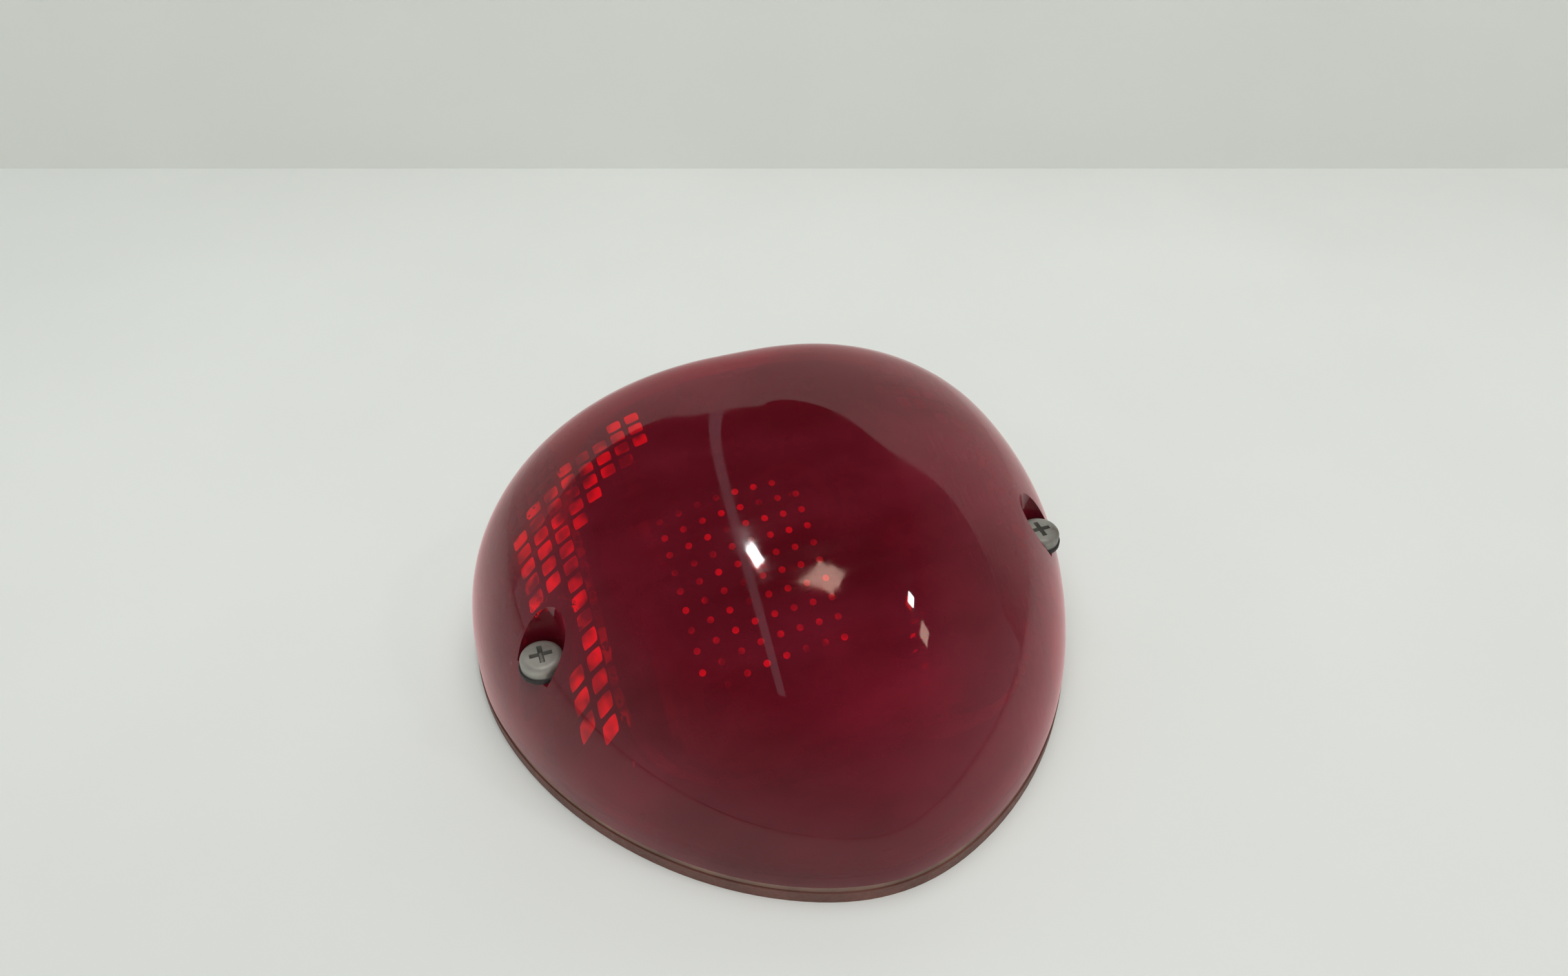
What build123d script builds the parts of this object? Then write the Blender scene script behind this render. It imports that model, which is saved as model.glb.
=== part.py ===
"""Motorcycle tail light: a deep red dome lens held by two long screws to a flat housing,
with a rubber gasket, a plated reflector dish and a two-filament bayonet bulb in a sprung socket.

Millimetres. +X runs across the light, +Y is up on the vehicle, +Z points out of the lens.
The origin is the centre of the flat mounting face, which lies in the plane Z = 0.
"""

import os
from math import cos, copysign, hypot, pi, sin

from build123d import *

# ---- Driving dimensions ----
half_width = 75.0
half_length = 65.5
crown_height = 68.0
widest_y = 19.5
crown_y = 37.5
lower_fullness = 1.78
upper_fullness = 2.85

# Each section through the crown is (1 - reach^spread)^(1/rise): side, lower and upper sections.
side_spread, side_rise = 2.25, 2.15
lower_spread, lower_rise = 1.75, 1.6
upper_spread, upper_rise = 2.05, 2.25

lens_wall = 2.6
lens_seat = 5.0
flange_width = 4.0
flange_height = 2.4
gasket_height = 1.8
gasket_setback = 0.4
running_gap = 0.4

floor_height = 2.5
rib_width = 1.6
rib_top = 8.0

screw_x = 61.0
screw_y = -4.5
screw_radius = 2.5
screw_head_radius = 4.75
screw_head_height = 3.0
screw_tip = 5.2
well_floor = 28.5
well_radius = 6.2
well_wall = 1.9
boss_floor = 3.0
boss_tube_radius = 5.2
boss_foot = 12.6
washer_height = 1.0
post_radius = 6.6
post_top = 12.2
insert_radius = 3.4
insert_gap = 0.06

mount_x = 34.0
mount_y = 30.0
mount_insert_radius = 4.0
mount_bore = 2.5
mount_depth = 8.0
mount_boss_radius = 7.0
mount_boss_top = 10.0

bulb_y = 7.5
sleeve_bore = 7.8
sleeve_radius = 8.5
sleeve_top = 23.0
bracket_radius = 13.0
bracket_height = 1.0
ear_x = 19.0
ear_radius = 5.0
rivet_radius = 1.6
rivet_head_radius = 3.0
rivet_tail_low = 0.2
rivet_tail_depth = 1.0
carrier_low = 8.5
carrier_top = 10.7
carrier_radius = 7.3
contact_x = 3.2
contact_radius = 1.4
contact_tail = 6.2
spring_coil_radius = 5.9
spring_wire = 0.45
spring_turns = 3.0
cap_radius = 7.5
cap_wall = 0.6
cap_foot = 13.2
cap_top = 28.0
pin_radius = 0.95
pin_reach = 9.0
pin_heights = (18.6, 21.4)
bulb_turn = 20.0
push_travel = 2.5
glass_radius = 12.5
glass_tip = 57.0
glass_wall = 0.9
insulator_low = 12.2
neck_low = 25.5
stem_top = 34.0
support_radius = 0.25
filament_half = 2.6
filament_radius = 0.45

dish_floor = 9.0
dish_wall = 1.4
dish_top = 21.0
dish_half_width = 48.0
dish_half_length = 46.0
dish_corner = 30.0
dish_slope = 45.0
dish_lens_gap = 2.4
dish_screw_x = 24.0
dish_screw_y = -12.0
dish_screw_radius = 1.25
dish_head_radius = 2.9
dish_post_radius = 3.6

grommet_y = -34.0
grommet_half_width = 6.5
grommet_half_height = 4.4
grommet_flange = 1.8
grommet_bore = 2.5
drain_y = -57.0
drain_radius = 1.5

rim_points = 28
section_angles = (0, 12, 25, 38, 50, 62, 72, 81)

far = 200.0


# ---- The egg-shaped rim and the dome over it ----
def signed_power(value, power):
    return copysign(abs(value) ** power, value)


def egg(angle):
    """Point of the outer rim: a narrow lower half and a fuller upper half, joined at the widest line."""
    upper = sin(angle) > 0
    fullness = upper_fullness if upper else lower_fullness
    reach = half_length - widest_y if upper else half_length + widest_y
    x = half_width * signed_power(cos(angle), 2 / fullness)
    return x, widest_y + reach * signed_power(sin(angle), 2 / fullness)


def rim_point(angle, inset):
    """Point of the rim moved inwards, square to the outline."""
    step = 0.02
    x, y = egg(angle)
    ahead, behind = egg(angle + step), egg(angle - step)
    run, rise = ahead[0] - behind[0], ahead[1] - behind[1]
    length = hypot(run, rise)
    return x - inset * rise / length, y + inset * run / length


def angles():
    return [2 * pi * (i + 0.5) / rim_points for i in range(rim_points)]


def section_powers(angle):
    """Spread and rise at one angle, blended between the side, lower and upper sections."""
    share = abs(sin(angle)) ** 1.5
    end_spread, end_rise = (upper_spread, upper_rise) if sin(angle) > 0 else (lower_spread, lower_rise)
    spread = side_spread + share * (end_spread - side_spread)
    return spread, side_rise + share * (end_rise - side_rise)


def dome_point(angle, level, inset):
    """Point of the dome at a share of its height: the rim drawn in towards the crown."""
    spread, rise = section_powers(angle)
    reach = (1 - level**rise) ** (1 / spread)
    x, y = rim_point(angle, inset)
    return x * reach, crown_y + (y - crown_y) * reach


def rim_sketch(outer_inset, inner_inset=None, height=0.0):
    """Sketch of the rim's shape, or of a band between two insets."""
    with BuildSketch(Plane.XY.offset(height)) as flat:
        with BuildLine():
            Spline(*[rim_point(angle, outer_inset) for angle in angles()], periodic=True)
        make_face()
        if inner_inset is not None:
            with BuildLine():
                Spline(*[rim_point(angle, inner_inset) for angle in angles()], periodic=True)
            make_face(mode=Mode.SUBTRACT)
    return flat.sketch


def band(outer_inset, inner_inset, low, high, mode=Mode.ADD):
    """Upright wall that follows the rim, added to the part being built."""
    extrude(rim_sketch(outer_inset, inner_inset, low), amount=high - low, mode=mode)


def posts(places, radius, low, high, bore=None, mode=Mode.ADD):
    """Upright round posts, or tubes where a bore is given, added to the part being built."""
    with BuildSketch(Plane.XY.offset(low)) as flat:
        with Locations(*places):
            Circle(radius)
            if bore:
                Circle(bore, mode=Mode.SUBTRACT)
    extrude(flat.sketch, amount=high - low, mode=mode)


def holes(places, radius, low=0.0, high=far):
    posts(places, radius, low, high, mode=Mode.SUBTRACT)


def grommet_oval(height, margin=0.0, bore=None):
    """Oval sketch of the wire grommet, wider by a margin, with a round bore where one is given."""
    with BuildSketch(Plane((0, grommet_y, height))) as oval:
        Ellipse(grommet_half_width + margin, grommet_half_height + margin)
        if bore:
            Circle(bore, mode=Mode.SUBTRACT)
    return oval.sketch


def dome(inset, crown, foot):
    """Closed solid under a dome, from its flat foot to its crown."""
    sections = []
    for section_angle in section_angles:
        level = sin(section_angle * pi / 180)
        with BuildSketch(Plane.XY.offset(foot + (crown - foot) * level)) as ring:
            with BuildLine():
                Spline(*[dome_point(angle, level, inset) for angle in angles()], periodic=True)
            make_face()
        sections.append(ring.sketch.face())
    return loft([*sections, Vertex(0, crown_y, crown)], mode=Mode.PRIVATE)


def finish(piece, name):
    piece.part.label = name
    export_step(piece.part, f"parts/{name}.step")


screw_places = [(-screw_x, screw_y), (screw_x, screw_y)]
mount_places = [(-mount_x, mount_y), (mount_x, mount_y)]
dish_screw_places = [(-dish_screw_x, dish_screw_y), (dish_screw_x, dish_screw_y)]
ear_places = [(-ear_x, bulb_y), (ear_x, bulb_y)]
contact_places = [(-contact_x, bulb_y), (contact_x, bulb_y)]
bulb_place = [(0, bulb_y)]

os.makedirs("parts", exist_ok=True)

# ---- Lens: thin dome, inward foot flange, two screw wells with tubes down to the housing ----
outer_dome = dome(0.0, crown_height, lens_seat)
inner_dome = dome(lens_wall, crown_height - lens_wall, lens_seat)

with BuildPart() as lens_wells:
    posts(screw_places, well_radius + well_wall, well_floor - boss_floor, crown_height)
    posts(screw_places, boss_tube_radius, boss_foot, well_floor)
    add(outer_dome, mode=Mode.INTERSECT)

with BuildPart() as lens:
    add(outer_dome)
    add(inner_dome, mode=Mode.SUBTRACT)
    band(lens_wall / 2, flange_width, lens_seat, lens_seat + flange_height)
    add(lens_wells)
    holes(screw_places, well_radius, low=well_floor)
    holes(screw_places, screw_radius + running_gap)
finish(lens, "lens")

# ---- Gasket: flat rubber band under the lens flange ----
ledge_top = lens_seat - gasket_height

with BuildPart() as lens_gasket:
    band(gasket_setback, flange_width, ledge_top, lens_seat)
finish(lens_gasket, "lens_gasket")

# ---- Housing: floor, gasket ledge, locating rib, screw posts and mounting bosses ----
rib_inset = flange_width + running_gap
insert_foot = screw_tip - 0.6

with BuildPart() as housing:
    extrude(rim_sketch(0.0), amount=floor_height)
    band(0.0, rib_inset + rib_width, floor_height, ledge_top)
    band(rib_inset, rib_inset + rib_width, ledge_top, rib_top)
    posts(screw_places, post_radius, floor_height, post_top)
    posts(mount_places, mount_boss_radius, floor_height, mount_boss_top)
    posts(dish_screw_places, dish_post_radius, floor_height, dish_floor)
    band(0.0, rib_inset, ledge_top, post_top, mode=Mode.SUBTRACT)
    holes(screw_places, insert_radius, low=insert_foot)
    holes(mount_places, mount_insert_radius, high=mount_depth)
    holes(dish_screw_places, dish_screw_radius, low=floor_height)
    holes(ear_places, rivet_radius, high=floor_height)
    holes(ear_places, rivet_head_radius + 0.2, high=rivet_tail_depth)
    extrude(grommet_oval(0), amount=floor_height, mode=Mode.SUBTRACT)
    holes([(0, drain_y)], drain_radius, high=ledge_top)
finish(housing, "housing")

# ---- Brass inserts moulded into the housing ----
with BuildPart() as lens_screw_inserts:
    posts(screw_places, insert_radius, insert_foot, post_top, bore=screw_radius + insert_gap)
finish(lens_screw_inserts, "lens_screw_inserts")

with BuildPart() as mount_inserts:
    posts(mount_places, mount_insert_radius, 0, mount_depth, bore=mount_bore)
finish(mount_inserts, "mount_inserts")

# ---- Lens screws: pan head with a cross recess, and a sealing washer under each head ----
head_low = well_floor + washer_height
head_top = head_low + screw_head_height


def cross_recess(places, top, length, width, depth, taper=0.0):
    """Cross-shaped driver recess cut into the heads of the part being built."""
    with BuildSketch(Plane.XY.offset(top)) as cross:
        with Locations(*places):
            Rectangle(length, width)
            Rectangle(width, length)
    extrude(cross.sketch, amount=-depth, taper=taper, mode=Mode.SUBTRACT)


for side, place in zip(("left", "right"), screw_places):
    with BuildPart() as screw:
        posts([place], screw_radius, screw_tip, head_low)
        posts([place], screw_head_radius, head_low, head_top)
        chamfer(screw.faces().sort_by(Axis.Z)[0].edges(), 0.5)
        fillet(screw.faces().sort_by(Axis.Z)[-1].edges(), 1.4)
        cross_recess([place], head_top, length=5.0, width=1.15, depth=1.9, taper=9)
    finish(screw, f"lens_screw_{side}")

    with BuildPart() as washer:
        posts([place], screw_head_radius + 0.4, well_floor, head_low, bore=screw_radius + 0.3)
    finish(washer, f"screw_washer_{side}")

# ---- Reflector: plated bowl round the bulb, with walls that rise to just under the lens ----
dish_seat = dish_floor + dish_wall
under_lens = lens_wall + dish_lens_gap
lens_clearance = dome(under_lens, crown_height - under_lens, lens_seat)


def bowl(inset, mode=Mode.ADD):
    """Upright walls over a sloping foot, drawn inwards by a wall thickness."""
    with BuildSketch(Plane.XY.offset(dish_top)) as mouth:
        width = 2 * (dish_half_width - inset)
        length = 2 * (dish_half_length - inset)
        RectangleRounded(width, length, dish_corner - inset)
    extrude(mouth.sketch, amount=crown_height - dish_top, mode=mode)
    extrude(mouth.sketch, amount=dish_floor + inset - dish_top, taper=dish_slope, mode=mode)


with BuildPart() as reflector:
    bowl(0.0)
    add(lens_clearance, mode=Mode.INTERSECT)
    bowl(dish_wall, mode=Mode.SUBTRACT)
    holes(bulb_place, sleeve_radius + 0.8)
    holes(mount_places, mount_boss_radius + 0.6, high=mount_boss_top + 0.6)
    holes(dish_screw_places, dish_screw_radius + 0.4, high=dish_top)
finish(reflector, "reflector")

dish_head_top = dish_seat + 1.8

with BuildPart() as reflector_screws:
    posts(dish_screw_places, dish_screw_radius, floor_height + 0.4, dish_seat)
    posts(dish_screw_places, dish_head_radius, dish_seat, dish_head_top)
    fillet(reflector_screws.faces().sort_by(Axis.Z)[-2:].edges(), 0.7)
    cross_recess(dish_screw_places, dish_head_top, length=3.0, width=0.7, depth=1.0)
finish(reflector_screws, "reflector_screws")

# ---- Socket: slotted sleeve in a riveted bracket ----
slot_half = pin_radius + 0.35
slot_spread = slot_half / sleeve_bore * 180 / pi
slot_reach = 1.5 * pin_reach


def bayonet_slot(heading, pin_height):
    """Slot for one bulb pin: a level run of the bulb's turn, then straight up and out."""
    low = pin_height - push_travel - slot_half
    turns = (heading - slot_spread, heading + bulb_turn / 2, heading + bulb_turn + slot_spread)
    corners = [(slot_reach * cos(turn * pi / 180), slot_reach * sin(turn * pi / 180)) for turn in turns]
    with BuildSketch(Plane((0, bulb_y, low))) as level_run:
        with BuildLine():
            Polyline((0, 0), *corners, close=True)
        make_face()
    extrude(level_run.sketch, amount=pin_height + slot_half - low, mode=Mode.SUBTRACT)
    with BuildSketch(Plane((0, bulb_y, low)).rotated((0, 0, heading + bulb_turn))) as way_out:
        Rectangle(slot_reach, 2 * slot_half, align=(Align.MIN, Align.CENTER))
    extrude(way_out.sketch, amount=far, mode=Mode.SUBTRACT)


with BuildPart() as socket_sleeve:
    posts(bulb_place, sleeve_radius, floor_height, sleeve_top, bore=sleeve_bore)
    for heading, pin_height in zip((0, 180), pin_heights):
        bayonet_slot(heading, pin_height)
finish(socket_sleeve, "socket_sleeve")

bracket_top = floor_height + bracket_height

with BuildPart() as socket_bracket:
    with BuildSketch(Plane.XY.offset(floor_height)):
        with Locations(*bulb_place):
            Circle(bracket_radius)
            Rectangle(2 * ear_x, 2 * ear_radius)
        with Locations(*ear_places):
            Circle(ear_radius)
            Circle(rivet_radius, mode=Mode.SUBTRACT)
        with Locations(*bulb_place):
            Circle(sleeve_radius, mode=Mode.SUBTRACT)
    extrude(amount=bracket_height)
finish(socket_bracket, "socket_bracket")

with BuildPart() as socket_rivets:
    posts(ear_places, rivet_radius, rivet_tail_low, bracket_top)
    posts(ear_places, rivet_head_radius, rivet_tail_low, rivet_tail_depth)
    posts(ear_places, rivet_head_radius, bracket_top, bracket_top + 1.3)
    fillet(socket_rivets.faces().sort_by(Axis.Z)[-2:].edges(), 0.9)
finish(socket_rivets, "socket_rivets")

# ---- Sprung contact carrier under the bulb ----
with BuildPart() as contact_carrier:
    posts(bulb_place, carrier_radius, carrier_low, carrier_top)
    holes(contact_places, contact_radius)
finish(contact_carrier, "contact_carrier")

pin_crown = carrier_top + 0.9

with BuildPart() as contact_pins:
    posts(contact_places, contact_radius, contact_tail, carrier_top)
    posts(contact_places, contact_radius + 0.6, carrier_top, pin_crown)
    fillet(contact_pins.faces().sort_by(Axis.Z)[-2:].edges(), 0.5)
finish(contact_pins, "contact_pins")

spring_low = floor_height + spring_wire
spring_height = carrier_low - floor_height - 2 * spring_wire

with BuildPart() as contact_spring:
    with BuildLine() as coil:
        Helix(spring_height / spring_turns, spring_height, spring_coil_radius, center=(0, bulb_y, spring_low))
    with BuildSketch(Plane(origin=coil.line @ 0, z_dir=coil.line % 0)):
        Circle(spring_wire)
    sweep()
finish(contact_spring, "contact_spring")

# ---- Bulb: bayonet cap, insulator, solder contacts, glass, stem, supports and two filaments ----
cap_bore = cap_radius - cap_wall
cap_lip = cap_bore - 1.0
insulator_seat = cap_foot + 0.7

with BuildPart() as bulb_cap:
    posts(bulb_place, cap_radius, cap_foot, cap_top, bore=cap_bore)
    posts(bulb_place, cap_bore, cap_foot, insulator_seat, bore=cap_lip)
    for direction, pin_height in zip((1, -1), pin_heights):
        with BuildSketch(Plane.YZ.offset(direction * (cap_bore + 0.1))):
            with Locations((bulb_y, pin_height)):
                Circle(pin_radius)
        extrude(amount=direction * (pin_reach - cap_bore))
finish(bulb_cap, "bulb_cap")

with BuildPart() as bulb_insulator:
    posts(bulb_place, cap_lip, insulator_low, insulator_seat)
    posts(bulb_place, cap_bore, insulator_seat, insulator_seat + 1.2)
finish(bulb_insulator, "bulb_insulator")

with BuildPart() as bulb_contacts:
    posts(contact_places, contact_radius, pin_crown, insulator_low)
finish(bulb_contacts, "bulb_contacts")

globe_middle = glass_tip - glass_radius


def glass_profile(thinner):
    """Half outline of the bulb from its neck to its tip, drawn inwards by a wall thickness."""
    neck, belly = cap_bore - thinner, glass_radius - thinner
    shoulder = Bezier(
        (neck, cap_top + 0.5),
        (neck, cap_top + 5.5),
        (belly, cap_top + 7.5),
        (belly, globe_middle),
    )
    Line((neck, neck_low), shoulder @ 0)
    CenterArc((0, globe_middle), belly, 0, 90)


with BuildPart() as bulb_glass:
    with BuildSketch(Plane.XZ.offset(-bulb_y)):
        with BuildLine():
            glass_profile(0.0)
            glass_profile(glass_wall)
            Line((cap_bore - glass_wall, neck_low), (cap_bore, neck_low))
            Line((0, glass_tip - glass_wall), (0, glass_tip))
        make_face()
    revolve(axis=Axis((0, bulb_y, 0), (0, 0, 1)))
finish(bulb_glass, "bulb_glass")

with BuildPart() as bulb_stem:
    posts(bulb_place, cap_bore - glass_wall, neck_low, neck_low + 1.5)
    with BuildSketch(Plane.XY.offset(neck_low + 1.5)):
        with Locations(*bulb_place):
            Ellipse(4.6, 3.2)
    with BuildSketch(Plane.XY.offset(stem_top)):
        with Locations(*bulb_place):
            Ellipse(4.2, 1.3)
    loft()
finish(bulb_stem, "bulb_stem")

filaments = {
    "brake_filament": (bulb_y + 0.7, 43.0),
    "tail_filament": (bulb_y - 0.7, 46.5),
}

with BuildPart() as filament_supports:
    for filament_y, filament_low in filaments.values():
        feet = [(-filament_half, filament_y), (filament_half, filament_y)]
        posts(feet, support_radius, stem_top, filament_low)
finish(filament_supports, "filament_supports")

for name, (filament_y, filament_low) in filaments.items():
    with BuildPart() as filament:
        with BuildSketch(Plane.YZ.offset(-filament_half - 0.3)):
            with Locations((filament_y, filament_low + filament_radius)):
                Circle(filament_radius)
        extrude(amount=2 * filament_half + 0.6)
    finish(filament, name)

# ---- Rubber grommet where the wires leave the back ----
grommet_foot = 0.3

with BuildPart() as wire_grommet:
    extrude(grommet_oval(grommet_foot, bore=grommet_bore), amount=floor_height - grommet_foot)
    extrude(grommet_oval(floor_height, margin=grommet_flange, bore=grommet_bore), amount=1.6)
    fillet(wire_grommet.edges().group_by(Axis.Z)[-1].sort_by(Edge.length.fget)[-1], 0.6)
finish(wire_grommet, "wire_grommet")
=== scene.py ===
"""Looks of the motorcycle tail light: a moulded red lens with optics on its inner face, coiled wires,
and a material for every piece."""

import math

import bpy
import numpy as np
from mathutils import Matrix, Vector
from mathutils.bvhtree import BVHTree


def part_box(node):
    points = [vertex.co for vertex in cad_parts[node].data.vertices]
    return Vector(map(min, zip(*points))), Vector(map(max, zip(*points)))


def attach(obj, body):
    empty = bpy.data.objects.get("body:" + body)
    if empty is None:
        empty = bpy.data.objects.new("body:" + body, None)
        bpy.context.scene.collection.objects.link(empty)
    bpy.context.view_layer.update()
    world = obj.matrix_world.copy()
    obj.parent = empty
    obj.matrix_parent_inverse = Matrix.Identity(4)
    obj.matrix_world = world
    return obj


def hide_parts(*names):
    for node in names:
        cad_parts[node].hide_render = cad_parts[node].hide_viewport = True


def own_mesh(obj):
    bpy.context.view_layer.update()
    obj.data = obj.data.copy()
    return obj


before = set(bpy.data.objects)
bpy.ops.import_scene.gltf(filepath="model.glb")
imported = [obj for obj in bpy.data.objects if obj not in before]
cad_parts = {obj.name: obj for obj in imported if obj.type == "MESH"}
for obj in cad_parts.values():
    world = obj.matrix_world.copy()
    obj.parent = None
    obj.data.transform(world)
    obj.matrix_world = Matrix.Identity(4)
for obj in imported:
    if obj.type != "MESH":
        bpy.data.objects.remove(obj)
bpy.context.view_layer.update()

MM = 0.001

# ---- Sizes read from the frame, in mm ----
lens_low, lens_high = (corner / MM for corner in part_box("lens"))
half_width = (lens_high.x - lens_low.x) / 2
rim_top, rim_bottom = lens_high.y, lens_low.y
lens_seat, crown_height = lens_low.z, lens_high.z
washer_low, washer_high = (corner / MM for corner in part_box("screw_washer_right"))
screw_x = (washer_low.x + washer_high.x) / 2
screw_y = (washer_low.y + washer_high.y) / 2
well_floor = washer_low.z
post_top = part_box("lens_screw_inserts")[1].z / MM

# ---- Shape of the lens, as in the CAD model, in mm ----
LENS_WALL = 2.6
FLANGE_WIDTH = 4.0
FLANGE_HEIGHT = 2.4
WIDEST_Y = 19.5
CROWN_Y = 37.5
LOWER_FULLNESS, UPPER_FULLNESS = 1.78, 2.85
SIDE_POWERS = (2.25, 2.15)
LOWER_POWERS = (1.75, 1.6)
UPPER_POWERS = (2.05, 2.25)
WELL_RADIUS = 6.2
WELL_WALL = 1.9
BOSS_FLOOR = 3.0
BOSS_TUBE_RADIUS = 5.2
SHANK_HOLE = 2.9
RUNNING_GAP = 0.4
RIM_POINTS = 28
RIM_STEP = 0.02
BLEND_POWER = 1.5

# ---- How the lens is meshed ----
SKIN = 0.12  # the visible lens lies this far inside the CAD lens
SEAT_GAP = 0.03  # faces of different bodies that rest on each other stay this far apart
HOLE_RUNOUT = 1.0  # the drill for the shank starts this far under the tops of the posts
OUTER_GRID = (480, 130)  # points round the rim, and steps from the foot to the crown
INNER_GRID = (640, 190)
LENS_SHARP_ANGLE, DOT_SHARP_ANGLE, BLOCK_SHARP_ANGLE = 28, 40, 60  # degrees
OVER_LENS = 100.0  # rays that look for the inner face start at this height

# ---- Two soft ridges on the front, with a shallow valley between them ----
RIDGE_X = 17.0
RIDGE_SPREAD = 9.0
RIDGE_DEPTH = 0.5
RIDGE_FOOT_Z, RIDGE_FULL_Z = 14.0, 48.0
RIDGE_END_Y, RIDGE_FULL_Y = 36.0, 8.0

# ---- Optics moulded on the inner face ----
PILLOW_EDGE = 47.5
PILLOW_PITCH = 4.6
PILLOW_RATIO = 0.85
PILLOW_HEIGHT = 0.7
PILLOW_FOOT_Z = 10.0
PILLOW_WELL_GAP = 1.0
FLUTE_EDGE = 34.0
FLUTE_PITCH = 2.2
FLUTE_HEIGHT = 0.12
STEP_PITCH = 2.6
STEP_TOP = -30.0
STEP_FOOT_Z = 12.0

# ---- Field of reflex dots, in columns and rows from its upper left corner ----
DOTS_LEFT, DOTS_TOP = -30.6, 3.0
DOT_PITCH, DOT_STEP = 4.2, 3.75
DOT_COLUMNS, DOT_ROWS = 8, 10
DOTS_LEFT_OUT = ((0, 9), (7, 0))
DOT_RADIUS = 0.75
DOT_SIDES = 12
DOT_PROFILE = ((1.0, -0.05), (1.0, 0.12), (0.86, 0.42), (0.5, 0.78), (0.0, 0.95))

# ---- Bands of reflex blocks, in a square grid from the band's straight inner edge ----
BLOCK_PITCH_X, BLOCK_PITCH_Y = 4.2, 3.75
BLOCK_COLUMNS, BLOCK_ROWS = range(-5, 4), range(-10, 9)
BLOCK_EDGE = 48.0
BLOCK_START_X, BLOCK_END_X = 27.0, 61.5
BLOCK_BOTTOM_Y, BLOCK_TOP_Y = -35.5, 33.0
BLOCK_TOP_BEND = 0.0105
BLOCK_SLANT_X, BLOCK_SLANT_Y = 30.0, 21.0
BLOCK_SLANT = 0.55
BLOCK_FOOT_Z = 18.0
BLOCK_WELL_GAP = 1.5
BLOCK_FILL = 0.37
BLOCK_ROUNDING = 0.10
BLOCK_CROWN = 0.6
BLOCK_FLATNESS = 4
BLOCK_SKIRT = 0.1
BLOCK_ROOT = 0.05
BLOCK_POINTS = 5


def rim_points(angle, inset):
    """Points of the rim at these angles, moved inwards square to the outline."""

    def at(a):
        s, c = np.sin(a), np.cos(a)
        fullness = np.where(s > 0, UPPER_FULLNESS, LOWER_FULLNESS)
        reach = np.where(s > 0, rim_top - WIDEST_Y, WIDEST_Y - rim_bottom)
        x = half_width * np.sign(c) * np.abs(c) ** (2 / fullness)
        return np.stack([x, WIDEST_Y + reach * np.sign(s) * np.abs(s) ** (2 / fullness)], -1)

    run = at(angle + RIM_STEP) - at(angle - RIM_STEP)
    normal = np.stack([-run[:, 1], run[:, 0]], -1) / np.linalg.norm(run, axis=1)[:, None]
    return at(angle) + inset * normal


def smooth_ring(points, count):
    """Periodic cubic spline through the points, at count places."""
    n = len(points)
    system = 4 * np.eye(n) + np.roll(np.eye(n), 1, 0) + np.roll(np.eye(n), -1, 0)
    bend = np.linalg.solve(system, 6 * (np.roll(points, -1, 0) - 2 * points + np.roll(points, 1, 0)))
    place = np.arange(count) * n / count
    i = place.astype(int)
    j = (i + 1) % n
    t = (place - i)[:, None]
    curve = ((1 - t) ** 3 - (1 - t)) * bend[i] + (t**3 - t) * bend[j]
    return (1 - t) * points[i] + t * points[j] + curve / 6


RING_ANGLES = 2 * np.pi * (np.arange(RIM_POINTS) + 0.5) / RIM_POINTS


def dome_rings(inset, crown, around, levels):
    """Rings of points from the foot upwards, the last one at the crown's point."""
    share = np.abs(np.sin(RING_ANGLES))[:, None] ** BLEND_POWER
    ends = np.where(np.sin(RING_ANGLES)[:, None] > 0, UPPER_POWERS, LOWER_POWERS)
    spread, rise = (np.array(SIDE_POWERS) + share * (ends - np.array(SIDE_POWERS))).T
    rim = rim_points(RING_ANGLES, inset)
    middle = np.array([0.0, CROWN_Y])
    rings = []
    for turn in np.linspace(0, math.pi / 2, levels + 1):
        level = min(1.0, math.sin(turn))
        reach = (np.clip(1 - level**rise, 0, 1) ** (1 / spread))[:, None]
        flat = smooth_ring(middle + (rim - middle) * reach, around)
        height = lens_seat + (crown - lens_seat) * level
        rings.append(np.column_stack([flat, np.full(around, height)]))
    return np.array(rings)


def ring_normals(rings):
    """Outward normals of a grid of rings."""
    along = np.roll(rings, -1, 1) - np.roll(rings, 1, 1)
    up = np.gradient(rings, axis=0)
    normal = np.cross(along, up)
    length = np.linalg.norm(normal, axis=2, keepdims=True)
    normal = normal / np.maximum(length, 1e-9)
    normal[-1] = (0, 0, 1)
    return normal


def ease(value, low, high):
    """Smooth step from 0 to 1."""
    t = np.clip((value - low) / (high - low), 0, 1)
    return t * t * (3 - 2 * t)


def ridge_drop(points):
    """How far the front lies under the plain dome: nothing on the two ridges and at the rim."""
    x, y, z = np.abs(points[..., 0]), points[..., 1], points[..., 2]
    beside = 1 - np.exp(-(((x - RIDGE_X) / RIDGE_SPREAD) ** 2))
    faded = ease(z, RIDGE_FOOT_Z, RIDGE_FULL_Z) * ease(-y, -RIDGE_END_Y, -RIDGE_FULL_Y)
    return RIDGE_DEPTH * beside * faded


def hump(place, pitch):
    """0 to 1 over each pitch: a row of round-topped cushions that meet in sharp valleys."""
    return 1 - (2 * (place / pitch - np.floor(place / pitch)) - 1) ** 2


def in_block_zone(x, y, from_screw):
    """The band of reflex blocks: down each side and over each upper corner, clear of the screw wells."""
    under_top = y < BLOCK_TOP_Y - BLOCK_TOP_BEND * (x - BLOCK_START_X) ** 2
    over_slant = (x > BLOCK_START_X) & (y > BLOCK_SLANT_Y - BLOCK_SLANT * (x - BLOCK_SLANT_X))
    in_reach = (x < BLOCK_END_X) & (y > BLOCK_BOTTOM_Y)
    off_well = from_screw > WELL_RADIUS + WELL_WALL + BLOCK_WELL_GAP
    return under_top & ((x > BLOCK_EDGE) | over_slant) & in_reach & off_well


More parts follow.
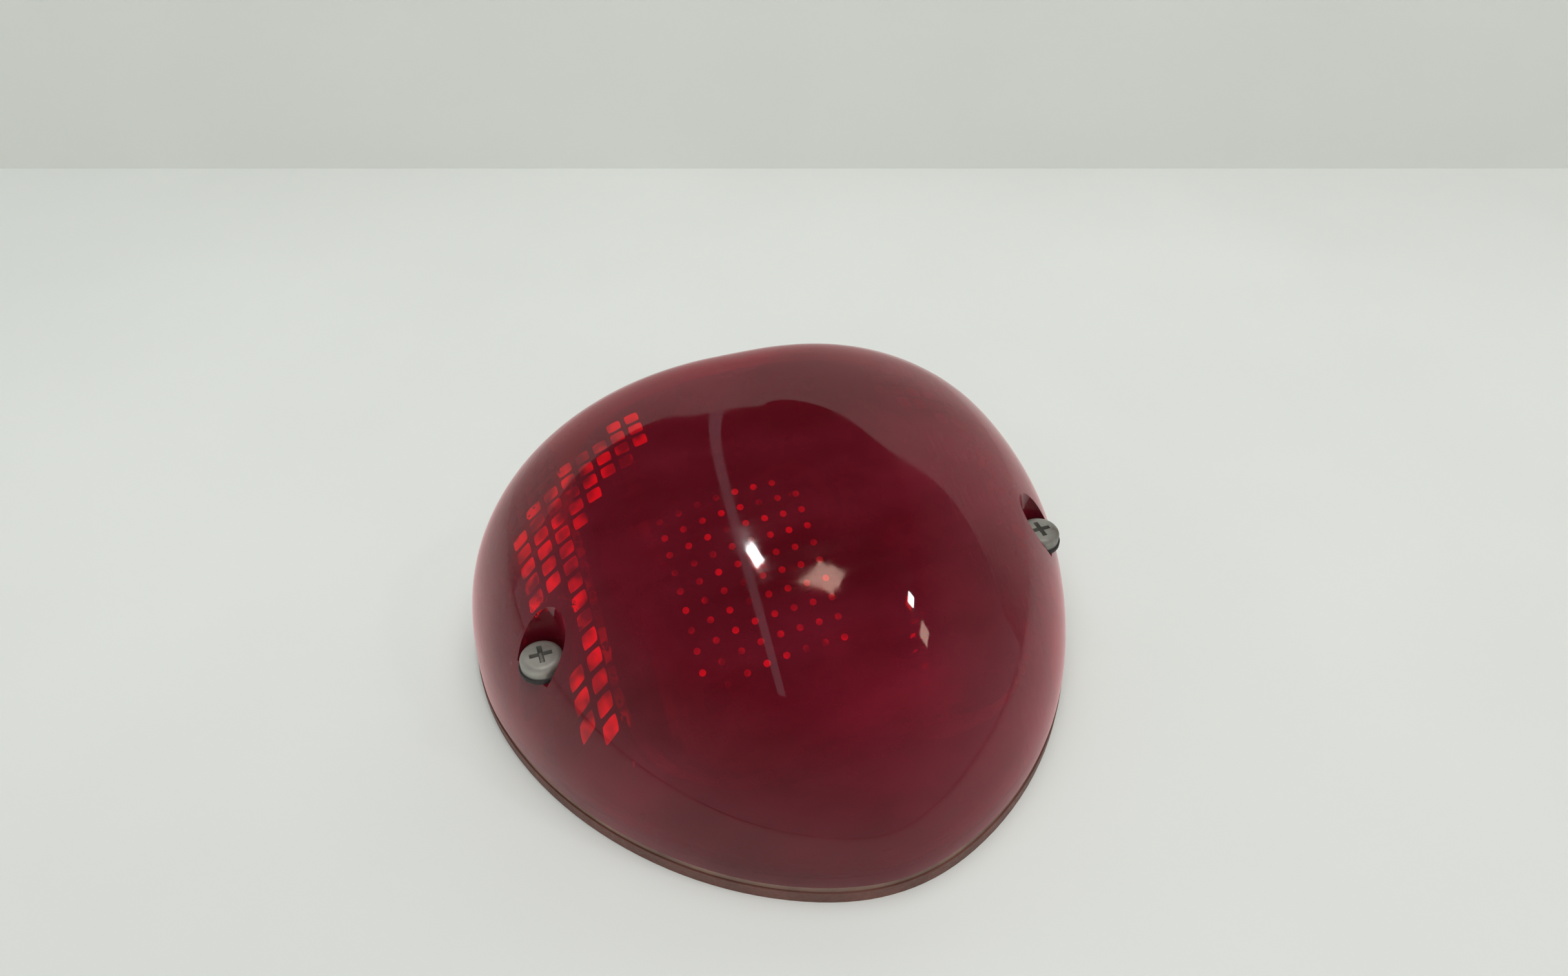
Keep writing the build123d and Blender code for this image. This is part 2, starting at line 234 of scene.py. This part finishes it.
def optics(points, around_place, up_place):
    """Height of the moulded optics on the inner face."""
    x, y, z = np.abs(points[..., 0]), points[..., 1], points[..., 2]
    pillow = PILLOW_HEIGHT * hump(around_place, PILLOW_PITCH) * hump(up_place, PILLOW_PITCH * PILLOW_RATIO)
    from_screw = np.hypot(x - screw_x, y - screw_y)
    off_well = from_screw > WELL_RADIUS + WELL_WALL + PILLOW_WELL_GAP
    on_flank = (x > PILLOW_EDGE) & (z > PILLOW_FOOT_Z) & off_well & ~in_block_zone(x, y, from_screw)
    flute = FLUTE_HEIGHT * hump(x, FLUTE_PITCH) * (x > FLUTE_EDGE) * (x <= PILLOW_EDGE)
    low_front = (y < STEP_TOP) * (x <= FLUTE_EDGE) * (z > STEP_FOOT_Z)
    steps = FLUTE_HEIGHT * hump(y, STEP_PITCH) * low_front
    return np.where(on_flank, pillow, flute + steps)


def arc_length(rings, axis):
    """Length run along the grid's lines, from 0 at the first."""
    gap = np.linalg.norm(np.diff(rings, axis=axis), axis=2)
    place = np.cumsum(gap, axis=axis)
    first = np.zeros_like(np.take(place, [0], axis=axis))
    return np.concatenate([first, place], axis=axis)


def grid_faces(rows, around):
    """Quads between rings."""
    faces = []
    for k in range(rows - 1):
        for i in range(around):
            j = (i + 1) % around
            faces.append((k * around + i, k * around + j, (k + 1) * around + j, (k + 1) * around + i))
    return faces


def new_object(name, vertices, faces, smooth_angle=None):
    """Mesh in metres, smooth except at edges sharper than the angle in degrees."""
    mesh = bpy.data.meshes.new(name)
    mesh.from_pydata([tuple(v) for v in vertices], [], faces)
    mesh.validate()
    mesh.update()
    if smooth_angle is not None:
        mesh.shade_smooth()
        mesh.set_sharp_from_angle(angle=math.radians(smooth_angle))
    piece = bpy.data.objects.new(name, mesh)
    bpy.context.scene.collection.objects.link(piece)
    return piece


def lens_shell():
    """Rings of the outer face, with its ridges, and of the inner face, with its optics."""
    outer = dome_rings(SKIN, crown_height - SKIN, *OUTER_GRID)
    outer = outer - ring_normals(outer) * ridge_drop(outer)[..., None]
    inner = dome_rings(LENS_WALL, crown_height - LENS_WALL, *INNER_GRID)
    normals = ring_normals(inner)
    around_place = arc_length(inner[[0, 0]], 1)[0]
    around_place = np.broadcast_to(around_place, inner.shape[:2])
    up_place = arc_length(inner, 0)
    depth = optics(inner, around_place, up_place) + ridge_drop(inner)
    inner = inner - normals * depth[..., None]
    return outer, inner


def closed_dome(name, rings):
    """Solid under the rings, closed by a flat foot."""
    rows, around = rings.shape[0] - 1, rings.shape[1]
    vertices = rings[:rows].reshape(-1, 3).tolist()
    crown = len(vertices)
    vertices.append(rings[-1, 0].tolist())
    faces = grid_faces(rows, around)
    last = (rows - 1) * around
    faces += [(last + i, last + (i + 1) % around, crown) for i in range(around)]
    faces.append(tuple(reversed(range(around))))
    return new_object(name, np.array(vertices) * MM, faces)


def solid_tube(name, centre, radius, low, high, sides=96):
    """Upright round bar."""
    turn = 2 * np.pi * np.arange(sides) / sides
    circle = np.stack([centre[0] + radius * np.cos(turn), centre[1] + radius * np.sin(turn)], -1)
    vertices = [(*p, low) for p in circle] + [(*p, high) for p in circle]
    faces = [(i, (i + 1) % sides, sides + (i + 1) % sides, sides + i) for i in range(sides)]
    faces += [tuple(reversed(range(sides))), tuple(range(sides, 2 * sides))]
    return new_object(name, np.array(vertices) * MM, faces)


def solid_band(name, outer_inset, inner_inset, low, high, around=360):
    """Upright wall that follows the rim."""
    loops = [smooth_ring(rim_points(RING_ANGLES, inset), around) for inset in (outer_inset, inner_inset)]
    corners = ((0, low), (0, high), (1, high), (1, low))
    vertices = np.concatenate([np.column_stack([loops[k], np.full(around, z)]) for k, z in corners])
    faces = []
    for k in range(4):
        for i in range(around):
            a, b = k * around, (k + 1) % 4 * around
            j = (i + 1) % around
            faces.append((a + i, a + j, b + j, b + i))
    return new_object(name, vertices * MM, faces)


def cut(piece, tool, operation):
    """Boolean of two closed meshes; the tool goes away."""
    change = piece.modifiers.new("cut", "BOOLEAN")
    change.operation, change.object, change.solver = operation, tool, "MANIFOLD"
    dg = bpy.context.evaluated_depsgraph_get()
    mesh = bpy.data.meshes.new_from_object(piece.evaluated_get(dg))
    piece.modifiers.clear()
    old = piece.data
    piece.data = mesh
    bpy.data.meshes.remove(old)
    bpy.data.objects.remove(tool)


outer_rings, inner_rings = lens_shell()
lens = closed_dome("lens_moulding", outer_rings)
cut(lens, closed_dome("lens_hollow", inner_rings), "DIFFERENCE")
flange = solid_band("lens_flange", LENS_WALL / 2, FLANGE_WIDTH, lens_seat, lens_seat + FLANGE_HEIGHT)
cut(lens, flange, "UNION")
for side in (-1, 1):
    place = (side * screw_x, screw_y)
    boss = solid_tube("boss", place, WELL_RADIUS + WELL_WALL, well_floor - BOSS_FLOOR, crown_height)
    cut(boss, solid_tube("tube", place, BOSS_TUBE_RADIUS, post_top + RUNNING_GAP, well_floor), "UNION")
    cut(boss, closed_dome("inside", outer_rings), "INTERSECT")
    cut(lens, boss, "UNION")
    cut(lens, solid_tube("well", place, WELL_RADIUS, well_floor - SEAT_GAP, crown_height), "DIFFERENCE")
    cut(lens, solid_tube("hole", place, SHANK_HOLE, post_top - HOLE_RUNOUT, crown_height), "DIFFERENCE")
lens.data.shade_smooth()
lens.data.set_sharp_from_angle(angle=math.radians(LENS_SHARP_ANGLE))
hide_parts("lens")
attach(lens, "lens")

# ---- Reflex dots and blocks on the inner face ----
inner_points = [tuple(p) for p in inner_rings[:-1].reshape(-1, 3)]
inner_tree = BVHTree.FromPolygons(inner_points, grid_faces(len(inner_rings) - 1, inner_rings.shape[1]))


def inner_hit(x, y):
    """Point of the inner face under this place, and the direction into the light."""
    hit, normal, _, _ = inner_tree.ray_cast(Vector((x, y, OVER_LENS)), Vector((0, 0, -1)))
    if hit is None:
        return None
    return hit, (-normal if normal.z > 0 else normal)


def one_dot(x, y, first):
    """Vertices and faces of a round-nosed cone that stands inwards, its vertices numbered from first."""
    hit, inward = inner_hit(x, y)
    turn = inward.to_track_quat("Z", "Y").to_matrix()
    vertices, faces = [], []
    for share, rise in DOT_PROFILE[:-1]:
        for k in range(DOT_SIDES):
            a = 2 * math.pi * k / DOT_SIDES
            flat = Vector((math.cos(a) * share, math.sin(a) * share, rise)) * DOT_RADIUS
            vertices.append(hit + turn @ flat)
    vertices.append(hit + turn @ Vector((0, 0, DOT_PROFILE[-1][1] * DOT_RADIUS)))
    rings = len(DOT_PROFILE) - 2
    for r in range(rings):
        for k in range(DOT_SIDES):
            a = first + r * DOT_SIDES + k
            b = first + r * DOT_SIDES + (k + 1) % DOT_SIDES
            faces.append((a, b, b + DOT_SIDES, a + DOT_SIDES))
    tip, top = first + len(vertices) - 1, first + rings * DOT_SIDES
    faces += [(top + k, top + (k + 1) % DOT_SIDES, tip) for k in range(DOT_SIDES)]
    faces.append(tuple(reversed(range(first, first + DOT_SIDES))))
    return vertices, faces


def reflex_dots():
    """Field of small cones on the inner face."""
    vertices, faces = [], []
    for column in range(DOT_COLUMNS):
        for row in range(DOT_ROWS):
            if (column, row) in DOTS_LEFT_OUT:
                continue
            x, y = DOTS_LEFT + DOT_PITCH * column, DOTS_TOP - DOT_STEP * row
            more_vertices, more_faces = one_dot(x, y, len(vertices))
            vertices += more_vertices
            faces += more_faces
    return new_object("lens_reflex_dots", np.array(vertices) * MM, faces, DOT_SHARP_ANGLE)


def block_points(middle_x, middle_y):
    """Front and back points of one block, or nothing where the inner face doesn't carry all of it."""
    places = np.linspace(-BLOCK_FILL, BLOCK_FILL, BLOCK_POINTS)
    front, back = [], []
    for u in places:
        for v in places:
            pull = 1 - BLOCK_ROUNDING * (u * v / BLOCK_FILL**2) ** 2
            found = inner_hit(middle_x + pull * u * BLOCK_PITCH_X, middle_y + pull * v * BLOCK_PITCH_Y)
            if found is None or found[0].z < BLOCK_FOOT_Z:
                return []
            hit, inward = found
            crown = (1 - (u / BLOCK_FILL) ** BLOCK_FLATNESS) * (1 - (v / BLOCK_FILL) ** BLOCK_FLATNESS)
            front.append(hit + inward * (BLOCK_SKIRT + BLOCK_CROWN * crown))
            back.append(hit - inward * BLOCK_ROOT)
    return front + back


def block_faces(first):
    """Faces of one block: its front, its back and the sides between them."""
    count = BLOCK_POINTS
    behind = count * count
    faces = []
    for i in range(count - 1):
        for j in range(count - 1):
            a = first + i * count + j
            quad = (a, a + 1, a + count + 1, a + count)
            faces += [quad, tuple(k + behind for k in reversed(quad))]
    edge = [k * count for k in range(count)]
    edge += [(count - 1) * count + k for k in range(1, count)]
    edge += [k * count + count - 1 for k in range(count - 2, -1, -1)]
    edge += list(range(count - 2, 0, -1))
    for k, a in enumerate(edge):
        b = edge[(k + 1) % len(edge)]
        faces.append((first + b, first + a, first + a + behind, first + b + behind))
    return faces


def reflex_blocks(name, side):
    """Crowned square blocks in a square grid, standing inwards from the inner face."""
    vertices, faces = [], []
    for column in BLOCK_COLUMNS:
        for row in BLOCK_ROWS:
            x = BLOCK_EDGE + (column + 0.5) * BLOCK_PITCH_X
            y = (row + 0.5) * BLOCK_PITCH_Y
            if not in_block_zone(x, y, math.hypot(x - screw_x, y - screw_y)):
                continue
            points = block_points(side * x, y)
            if points:
                faces += block_faces(len(vertices))
                vertices += points
    return new_object(name, np.array(vertices) * MM, faces, BLOCK_SHARP_ANGLE)


dots = reflex_dots()
left_blocks = reflex_blocks("lens_reflex_blocks_left", -1)
right_blocks = reflex_blocks("lens_reflex_blocks_right", 1)
for piece in (dots, left_blocks, right_blocks):
    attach(piece, "lens")


# ---- Coiled filaments and the contact spring ----
def wire_piece(name, path, radius, node, body):
    """Round wire along a path, in place of a CAD node."""
    curve = bpy.data.curves.new(name, "CURVE")
    curve.dimensions = "3D"
    curve.bevel_depth = radius * MM
    curve.bevel_resolution = 2
    curve.use_fill_caps = True
    line = curve.splines.new("POLY")
    line.points.add(len(path) - 1)
    for point, place in zip(line.points, path):
        point.co = (*(place * MM), 1)
    line.use_smooth = True
    holder = bpy.data.objects.new(name + "_line", curve)
    mesh = bpy.data.meshes.new_from_object(holder)
    bpy.data.objects.remove(holder)
    piece = bpy.data.objects.new(name, mesh)
    bpy.context.scene.collection.objects.link(piece)
    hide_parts(node)
    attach(piece, body)
    return piece


def filament_coil(name, node, turns=16, wire=0.07, radius=0.36, turn_points=14, steepness=8):
    """Fine coil along X, drawn in to its axis at both ends."""
    low, high = (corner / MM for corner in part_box(node))
    middle, half = (low + high) / 2, (high.x - low.x) / 2 - wire
    steps = turns * turn_points
    path = []
    for k in range(steps + 1):
        share, angle = k / steps, 2 * math.pi * turns * k / steps
        reach = radius * min(1.0, steepness * min(share, 1 - share))
        offset = Vector((-half + 2 * half * share, reach * math.cos(angle), reach * math.sin(angle)))
        path.append(middle + offset)
    return wire_piece(name, path, wire, node, "bulb")


def contact_spring_coil(name, node, turns=4.0, wire=0.45, closed=0.6, turn_points=40):
    """Compression spring along Z with a flat closed turn at each end."""
    low, high = (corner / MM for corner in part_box(node))
    middle, radius = (low + high) / 2, (high.x - low.x) / 2 - wire - SEAT_GAP
    foot, height = low.z + wire + SEAT_GAP, high.z - low.z - 2 * (wire + SEAT_GAP)
    steps = int(turns * turn_points)
    path = []
    for k in range(steps + 1):
        turn = turns * k / steps
        share = min(1.0, max(0.0, (turn - closed) / (turns - 2 * closed)))
        angle = 2 * math.pi * turn
        across, along = radius * math.cos(angle), radius * math.sin(angle)
        path.append(Vector((middle.x + across, middle.y + along, foot + height * share)))
    piece = wire_piece(name, path, wire, node, "housing")
    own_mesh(piece)
    return piece


filaments = [
    filament_coil("brake_filament_coil", "brake_filament"),
    filament_coil("tail_filament_coil", "tail_filament"),
]
spring = contact_spring_coil("contact_spring_coil", "contact_spring")


# ---- Materials ----
class Nodes:
    """Builds one procedural material."""

    def __init__(self, name):
        self.material = bpy.data.materials.new(name)
        self.material.use_nodes = True
        self.tree = self.material.node_tree
        self.shader = self.tree.nodes["Principled BSDF"]
        self.place = self.add("ShaderNodeTexCoord").outputs["Object"]

    def add(self, kind, **values):
        node = self.tree.nodes.new(kind)
        for key, value in values.items():
            setattr(node, key, value)
        return node

    def link(self, source, target):
        self.tree.links.new(source, target)

    def noise(self, scale, detail=4.0, rough=0.55, stretch=None):
        place = self.place
        if stretch:
            mapping = self.add("ShaderNodeMapping")
            mapping.inputs["Scale"].default_value = stretch
            self.link(place, mapping.inputs["Vector"])
            place = mapping.outputs["Vector"]
        node = self.add("ShaderNodeTexNoise")
        node.inputs["Scale"].default_value = scale
        node.inputs["Detail"].default_value = detail
        node.inputs["Roughness"].default_value = rough
        self.link(place, node.inputs["Vector"])
        return node.outputs["Fac"]

    def ramp(self, value, stops):
        node = self.add("ShaderNodeValToRGB")
        while len(node.color_ramp.elements) < len(stops):
            node.color_ramp.elements.new(0.5)
        for element, (position, color) in zip(node.color_ramp.elements, stops):
            element.position = position
            element.color = (*color, 1) if len(color) == 3 else color
        self.link(value, node.inputs["Fac"])
        return node.outputs["Color"]

    def spread(self, value, low, high, start=0.3, stop=0.7):
        """Maps a texture value onto a range."""
        node = self.add("ShaderNodeMapRange")
        for key, number in (("From Min", start), ("From Max", stop), ("To Min", low), ("To Max", high)):
            node.inputs[key].default_value = number
        self.link(value, node.inputs["Value"])
        return node.outputs["Result"]

    def bump(self, value, strength, distance):
        node = self.add("ShaderNodeBump")
        node.inputs["Strength"].default_value = strength
        node.inputs["Distance"].default_value = distance
        self.link(value, node.inputs["Height"])
        self.link(node.outputs["Normal"], self.shader.inputs["Normal"])


def tone(color, factor):
    """The colour made lighter or darker."""
    return tuple(min(1.0, c * factor) for c in color)


def surface(name, color, rough, metallic=0.0, scale=600.0, variation=0.25, bump=0.15, coat=0.0, dirt=None,
            stretch=None):
    """Opaque material with colour variation, uneven gloss, a fine relief and optional dirt."""
    n = Nodes(name)
    fine = n.noise(scale, stretch=stretch)
    broad = n.noise(scale / 12, 3.0)
    stops = [(0.3, tone(color, 1 - variation)), (0.7, tone(color, 1 + variation))]
    if dirt:
        stops = [(0.28, dirt), (0.42, tone(color, 1 - variation)), (0.75, tone(color, 1 + variation))]
    n.link(n.ramp(broad, stops), n.shader.inputs["Base Color"])
    n.link(n.spread(fine, rough[0], rough[1]), n.shader.inputs["Roughness"])
    n.shader.inputs["Metallic"].default_value = metallic
    if coat:
        n.shader.inputs["Coat Weight"].default_value = coat
        n.shader.inputs["Coat Roughness"].default_value = 0.15
    n.bump(fine, bump, 0.0001)
    return n.material


def red_lens():
    """Deep red acrylic with a little scuffed haze, a red sheen, and fine wipe marks in its gloss."""
    n = Nodes("red_lens")
    s = n.shader.inputs
    haze = n.noise(22, 5.0, 0.6, stretch=(0.5, 1.0, 1.0))
    n.link(n.ramp(haze, [(0.35, (0.46, 0.008, 0.035)), (0.66, (0.92, 0.060, 0.14))]), s["Base Color"])
    s["Transmission Weight"].default_value = 0.84
    s["IOR"].default_value = 1.49
    s["Sheen Weight"].default_value = 0.35
    s["Sheen Roughness"].default_value = 0.45
    s["Sheen Tint"].default_value = (1.0, 0.10, 0.16, 1)
    marks = n.noise(60, 6.0, 0.7, stretch=(0.25, 1.0, 1.0))
    n.link(n.spread(marks, 0.03, 0.15, 0.44, 0.70), s["Roughness"])
    depth = n.add("ShaderNodeVolumeAbsorption")
    depth.inputs["Color"].default_value = (0.86, 0.02, 0.10, 1)
    depth.inputs["Density"].default_value = 1250.0
    n.link(depth.outputs["Volume"], n.tree.nodes["Material Output"].inputs["Volume"])
    return n.material


def clear_glass(name):
    """Clear glass with faint uneven gloss."""
    n = Nodes(name)
    s = n.shader.inputs
    s["Base Color"].default_value = (0.97, 0.99, 0.98, 1)
    s["Transmission Weight"].default_value = 1.0
    s["IOR"].default_value = 1.5
    n.link(n.spread(n.noise(90), 0.0, 0.06, 0.5, 0.8), s["Roughness"])
    return n.material


def prism_red_with_painted_emission(name, painted_emission, depth=1.0):
    """Red of the small prisms, with a painted glow in its emission, in uneven spots, that stands in for the
    light they throw straight back; a depth under 1 darkens it as painted shade.
    """
    n = Nodes(name)
    s = n.shader.inputs
    # A depth under 1 darkens both reds as painted shade.
    dark, light = tone((0.62, 0.005, 0.02), depth), tone((0.9, 0.02, 0.05), depth)
    n.link(n.ramp(n.noise(250), [(0.3, dark), (0.7, light)]), s["Base Color"])
    s["Roughness"].default_value = 0.2
    # Spots of red emission: painted glow in place of the light the prisms throw back.
    painted_emission_spots = n.noise(170, 2.0)
    n.link(n.ramp(painted_emission_spots, [(0.38, (0.05, 0.001, 0.005)), (0.64, (1.0, 0.010, 0.10))]), s["Emission Color"])
    s["Emission Strength"].default_value = painted_emission
    return n.material


def reflector_plating():
    """Dull, slightly rippled plating."""
    n = Nodes("reflector_plating")
    s = n.shader.inputs
    n.link(n.ramp(n.noise(45), [(0.25, (0.34, 0.33, 0.34)), (0.75, (0.50, 0.49, 0.50))]), s["Base Color"])
    s["Metallic"].default_value = 1.0
    n.link(n.spread(n.noise(130, 5.0), 0.16, 0.34), s["Roughness"])
    n.bump(n.noise(170), 0.12, 0.0002)
    return n.material


lens_material = red_lens()
zinc = surface(
    "dull_zinc", (0.38, 0.37, 0.33), (0.38, 0.62), metallic=0.6, scale=900, variation=0.3, bump=0.5,
    dirt=(0.10, 0.055, 0.03)
)
plain_steel = surface(
    "plain_steel", (0.55, 0.55, 0.54), (0.25, 0.42), metallic=1.0, scale=700, variation=0.15, bump=0.2
)
spring_steel = surface(
    "spring_steel", (0.42, 0.42, 0.44), (0.2, 0.35), metallic=1.0, scale=1500, variation=0.15, bump=0.15
)
brass = surface(
    "brass", (0.68, 0.48, 0.20), (0.22, 0.42), metallic=1.0, scale=800, variation=0.18, bump=0.2
)
gasket = surface(
    "gasket_rubber", (0.26, 0.155, 0.12), (0.6, 0.85), scale=900, variation=0.3, bump=0.5
)
washer_rubber = surface(
    "washer_rubber", (0.03, 0.028, 0.027), (0.6, 0.8), scale=1200, variation=0.25, bump=0.4
)
housing_plastic = surface(
    "housing_plastic", (0.16, 0.062, 0.047), (0.45, 0.7), scale=1100, variation=0.22, bump=0.5
)
carrier_plastic = surface(
    "carrier_laminate", (0.22, 0.12, 0.05), (0.45, 0.6), scale=1800, variation=0.3, bump=0.3,
    stretch=(1, 8, 1)
)
insulator = surface(
    "insulator_glass", (0.02, 0.02, 0.03), (0.05, 0.2), scale=500, variation=0.3, bump=0.05, coat=0.6
)
solder = surface(
    "solder", (0.5, 0.5, 0.52), (0.25, 0.5), metallic=1.0, scale=1500, variation=0.12, bump=0.5
)
filament_wire = surface(
    "filament_wire", (0.3, 0.3, 0.32), (0.3, 0.5), metallic=1.0, scale=2500, variation=0.2, bump=0.2
)
bulb_glass = clear_glass("bulb_glass")
plating = reflector_plating()

looks = {
    "lens_gasket": gasket,
    "housing": housing_plastic,
    "reflector": plating,
    "reflector_screws": zinc,
    "lens_screw_left": zinc,
    "lens_screw_right": zinc,
    "screw_washer_left": washer_rubber,
    "screw_washer_right": washer_rubber,
    "lens_screw_inserts": brass,
    "mount_inserts": brass,
    "socket_sleeve": plain_steel,
    "socket_bracket": plain_steel,
    "socket_rivets": plain_steel,
    "contact_carrier": carrier_plastic,
    "contact_pins": brass,
    "bulb_cap": brass,
    "bulb_insulator": insulator,
    "bulb_contacts": solder,
    "bulb_glass": bulb_glass,
    "bulb_stem": bulb_glass,
    "filament_supports": filament_wire,
    "wire_grommet": washer_rubber,
}


def dress(piece, material):
    """Gives the piece this material alone."""
    piece.data.materials.clear()
    piece.data.materials.append(material)


for node, material in looks.items():
    dress(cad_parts[node], material)
dress(lens, lens_material)
# The dots and blocks glow by painted emission: the left blocks are the painted bright copy, and the right
# blocks are the painted dim copy, darkened as painted shade.
dress(dots, prism_red_with_painted_emission("reflex_dots", 0.9))
dress(left_blocks, prism_red_with_painted_emission("reflex_blocks_painted_bright", 1.35))
dress(right_blocks, prism_red_with_painted_emission("reflex_blocks_painted_dim", 0.06, 0.35))
dress(spring, spring_steel)
for piece in filaments:
    dress(piece, filament_wire)


# ---- Bench, wall and light, in metres ----
CAMERA = Vector((-0.0677, -0.1822, 0.222))
FORWARD = Vector((0.2545, 0.7225, -0.6428)).normalized()
UP = Vector((0.2136, 0.6063, 0.766))
FOCAL_LENGTH, SENSOR_WIDTH = 26.7, 36
BENCH_REACH = 3.0
WALL_DISTANCE = 0.484
WALL_HEIGHT = 0.46
WALL_REACH = 2.0
LAMP_DISTANCE = 1.2
WARM = (1.0, 0.72, 0.58)
SOFT_WHITE = (1.0, 0.99, 0.96)
STRIP_TINT = (0.92, 0.88, 1.0)
ROOM_FADE = ((0.0, 0.52), (0.72, 0.05))  # brightness by the height of the direction
STRIP_PLACES = ((13.9, 55.0, 1.465), (-162.2, 49.0, 1.59))  # azimuth, elevation and distance
SMALLEST_CLIP = 0.01


def stage_plane(name, corners, material):
    """Flat rectangle that belongs to the stage, not to the light."""
    piece = new_object(name, corners, [(0, 1, 2, 3)])
    dress(piece, material)
    return piece


def pale(name, color):
    """Even matt paint."""
    return surface(name, color, (0.55, 0.75), scale=60, variation=0.03, bump=0.05)


bench = pale("bench_white", (0.80, 0.83, 0.80))
wall_paint = pale("wall_white", (0.86, 0.89, 0.85))


def open_from_behind(material):
    """Lets a view from behind the wall look through it."""
    tree = material.node_tree
    output = tree.nodes["Material Output"]
    mix = tree.nodes.new("ShaderNodeMixShader")
    tree.links.new(tree.nodes.new("ShaderNodeNewGeometry").outputs["Backfacing"], mix.inputs["Fac"])
    tree.links.new(tree.nodes["Principled BSDF"].outputs["BSDF"], mix.inputs[1])
    tree.links.new(tree.nodes.new("ShaderNodeBsdfTransparent").outputs["BSDF"], mix.inputs[2])
    tree.links.new(mix.outputs["Shader"], output.inputs["Surface"])


open_from_behind(wall_paint)
bench_corners = [(x * BENCH_REACH, y * BENCH_REACH, 0) for x, y in ((-1, -1), (1, -1), (1, 1), (-1, 1))]
stage_plane("bench", bench_corners, bench)

away = Vector((FORWARD.x, FORWARD.y, 0)).normalized()
across = Vector((away.y, -away.x, 0))
wall_foot = Vector((CAMERA.x, CAMERA.y, 0)) + away * WALL_DISTANCE
wall_left, wall_right = wall_foot - across * WALL_REACH, wall_foot + across * WALL_REACH
wall_rise = Vector((0, 0, WALL_HEIGHT))
stage_plane("wall", [wall_left, wall_right, wall_right + wall_rise, wall_left + wall_rise], wall_paint)


def area_light(name, place, size, radiance, color=(1, 1, 1), size_y=None):
    """Rectangular lamp that faces the light, given the brightness of its face."""
    data = bpy.data.lights.new(name, "AREA")
    data.shape = "RECTANGLE"
    data.size, data.size_y = size, size_y or size
    data.energy = radiance * math.pi * data.size * data.size_y
    data.color = color
    lamp = bpy.data.objects.new(name, data)
    lamp.location = place
    lamp.rotation_mode = "QUATERNION"
    lamp.rotation_quaternion = (Vector(place) - middle).to_track_quat("Z", "Y")
    bpy.context.scene.collection.objects.link(lamp)
    return lamp


def only_diffuse(lamp):
    """Keeps a large soft lamp out of the gloss and out of what the lens lets through."""
    lamp.visible_glossy = False
    lamp.visible_transmission = False


middle = Vector((0, 0, 0.02))
only_diffuse(area_light("overhead", (0.0, 0.05, 1.4), size=1.2, radiance=2.1))
only_diffuse(area_light("front", (-0.5, -1.0, 1.0), size=1.0, radiance=1.3, color=SOFT_WHITE))


def toward(azimuth, elevation, distance):
    """Place in this direction from the light: degrees from +Y to +X, and degrees over the bench."""
    a, e = math.radians(azimuth), math.radians(elevation)
    return middle + distance * Vector((math.sin(a) * math.cos(e), math.cos(a) * math.cos(e), math.sin(e)))


area_light("ceiling_lamp", toward(160, 84, LAMP_DISTANCE), size=0.10, radiance=60)
area_light("ceiling_panel", toward(131, 71, LAMP_DISTANCE), size=0.12, radiance=7, color=WARM)
strip_ends = [toward(*place) for place in STRIP_PLACES]
strip_middle, strip_run = (strip_ends[0] + strip_ends[1]) / 2, strip_ends[0] - strip_ends[1]
strip_length = strip_run.length
strip = area_light("strip", strip_middle, size=0.10, radiance=0.62, color=STRIP_TINT, size_y=strip_length)
strip.rotation_quaternion = Matrix.Rotation(math.atan2(-strip_run.x, strip_run.y), 3, "Z").to_quaternion()
strip.visible_diffuse = False
area_light("side_lamp", toward(121, 50, LAMP_DISTANCE), size=0.06, radiance=40)
area_light("side_panel", toward(126, 42, LAMP_DISTANCE), size=0.09, radiance=7, color=WARM)

world = bpy.data.worlds.new("studio")
world.use_nodes = True
room = world.node_tree
direction = room.nodes.new("ShaderNodeTexCoord").outputs["Generated"]
split = room.nodes.new("ShaderNodeSeparateXYZ")
fade = room.nodes.new("ShaderNodeValToRGB")
room.links.new(direction, split.inputs["Vector"])
room.links.new(split.outputs["Z"], fade.inputs["Fac"])
for element, (height, shade) in zip(fade.color_ramp.elements, ROOM_FADE):
    element.position = height
    element.color = (shade, shade, shade, 1)
room.links.new(fade.outputs["Color"], room.nodes["Background"].inputs["Color"])
bpy.context.scene.world = world
bpy.context.scene.view_settings.view_transform = "Standard"

# ---- Camera ----
camera_data = bpy.data.cameras.new("camera")
camera_data.lens = FOCAL_LENGTH
camera_data.sensor_width = SENSOR_WIDTH
camera_data.clip_start = SMALLEST_CLIP
camera = bpy.data.objects.new("camera", camera_data)
bpy.context.scene.collection.objects.link(camera)
side_axis = FORWARD.cross(UP).normalized()
top_axis = side_axis.cross(FORWARD)
camera_turn = Matrix((side_axis, top_axis, -FORWARD)).transposed().to_4x4()
camera.matrix_world = Matrix.Translation(CAMERA) @ camera_turn
bpy.context.scene.camera = camera
